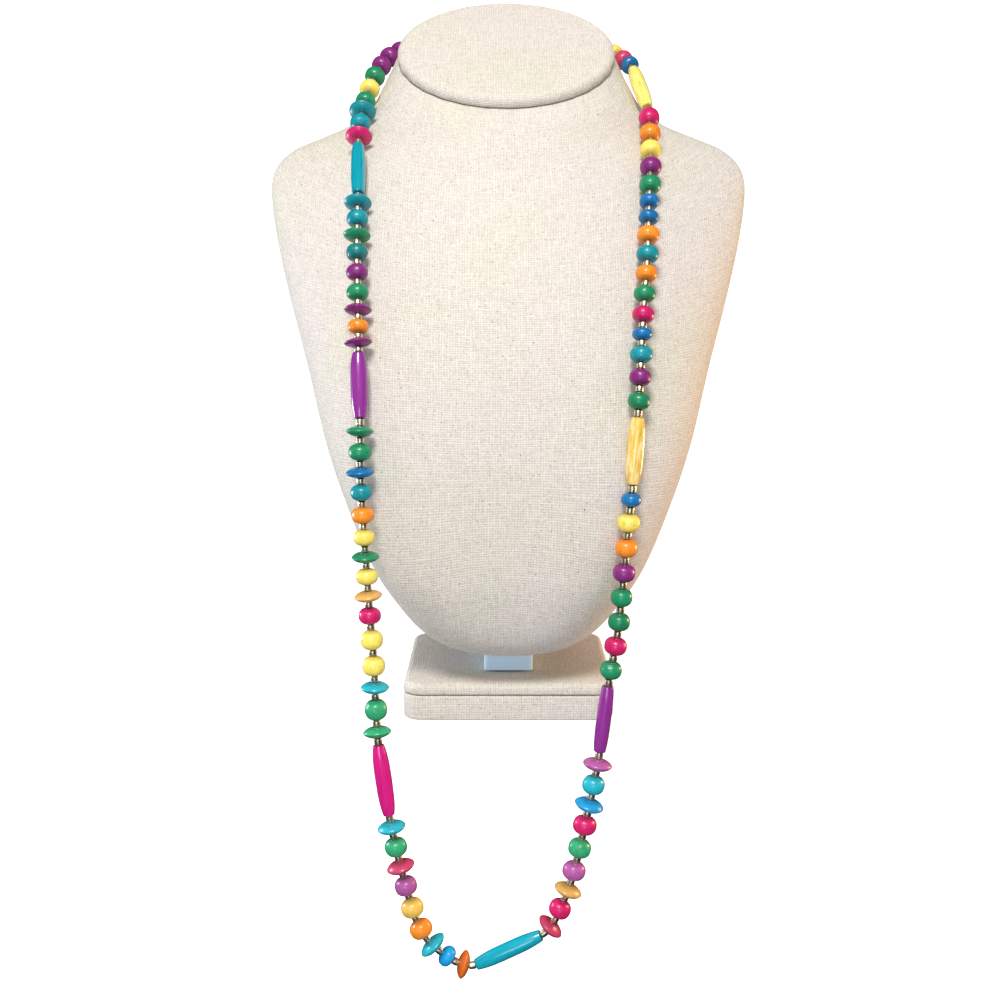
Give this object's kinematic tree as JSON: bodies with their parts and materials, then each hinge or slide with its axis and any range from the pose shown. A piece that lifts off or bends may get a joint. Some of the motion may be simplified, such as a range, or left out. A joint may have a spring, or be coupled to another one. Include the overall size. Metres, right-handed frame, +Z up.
{
  "type": "beaded necklace on a linen neck bust",
  "caption": "Long necklace of dyed round, disc and tube beads with brass spacers, hung on a cream linen neck bust with a padded base.",
  "frame": {"origin": "on the base's underside, on its centre line and 51 mm behind its front edge, under the bust's middle, where the base sits on the edge of a shelf or plinth", "axes": "+Z up, -Y towards the viewer and the bust's chest, +X to the viewer's right"},
  "size_m": [0.2066, 0.1481, 0.4117],
  "materials": {
    "linen": "plain-woven ecru linen stretched smooth over the bust, its cap and its base",
    "block_paint": "plain white, matt",
    "dyed_beads": "rounds and discs dyed purple, green, yellow, teal, magenta, orange, blue, turquoise and lilac, satin",
    "brass": "plain turned brass spacers, pale gold and worn bright",
    "thread": "thin waxed cotton cord, only seen between the beads",
    "turquoise_tube": "dyed bone, polished",
    "magenta_tube": "dyed bone, polished",
    "purple_tube": "dyed bone, polished",
    "teal_tube": "dyed bone, polished",
    "yellow_tube": "dyed bone, polished, mottled ivory in places"
  },
  "bodies": {
    "root": {"bust_form": "linen", "neck_cap": "linen", "base_slab": "linen", "base_pad": "linen", "support_block": "block_paint", "tube_turquoise_bottom": "turquoise_tube", "tube_magenta_left": "magenta_tube", "tube_purple_left": "purple_tube", "tube_teal_left": "teal_tube", "tube_yellow_right_upper": "yellow_tube", "tube_yellow_right_lower": "yellow_tube", "tube_purple_right": "purple_tube", "strand_left_lower": "dyed_beads", "strand_left_middle": "dyed_beads", "strand_left_upper": "dyed_beads", "strand_neck": "dyed_beads", "strand_right_upper": "dyed_beads", "strand_right_middle": "dyed_beads", "strand_right_lower": "dyed_beads"}
  },
  "joints": []
}
